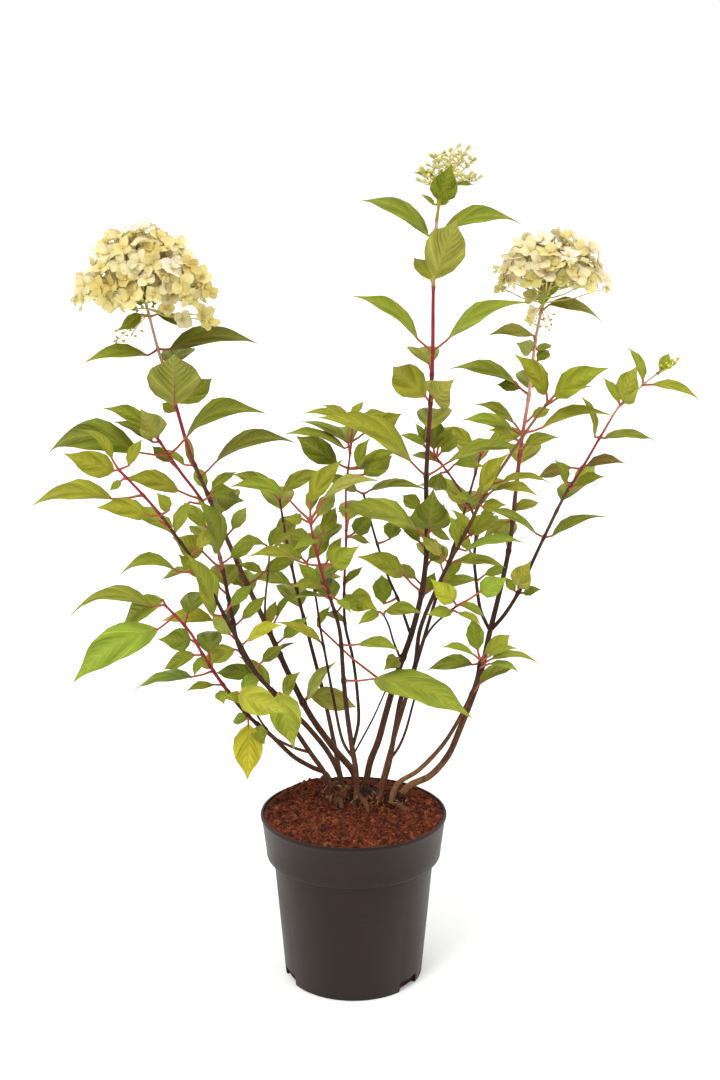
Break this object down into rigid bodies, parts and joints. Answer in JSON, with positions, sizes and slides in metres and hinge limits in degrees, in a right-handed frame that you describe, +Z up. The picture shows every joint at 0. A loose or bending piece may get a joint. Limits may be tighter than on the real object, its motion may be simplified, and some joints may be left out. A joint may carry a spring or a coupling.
{
  "type": "potted panicle hydrangea",
  "caption": "Young flowering shrub with open flower heads and opposite leaves on upright canes, rooted in peat in a round nursery pot.",
  "frame": {"origin": "centre of the pot's base, on the surface it stands on", "axes": "+Z up along the pot's axis, +X to the right and -Y towards the viewer of the front"},
  "size_m": [0.6235, 0.3539, 0.8351],
  "materials": {
    "pot": "matte, slightly soft sheen",
    "peat": "loose coarse peat and coir",
    "crown": "rough bark",
    "foliage": "satin leaves on pink-red to brown canes",
    "petals": "soft cream petals"
  },
  "bodies": {
    "root": {"pot": "pot", "peat": "peat", "crown": "crown", "tall_cane": "foliage", "centre_cane": "foliage", "left_cane": "foliage", "left_red_cane": "foliage", "far_left_cane": "foliage", "left_low_cane": "foliage", "fan_cane": "foliage", "right_cane": "foliage", "right_low_cane": "foliage", "back_left_cane": "foliage", "back_right_cane": "foliage", "left_flower_head": "petals", "right_flower_head": "petals", "bud_head": "petals"}
  },
  "joints": []
}
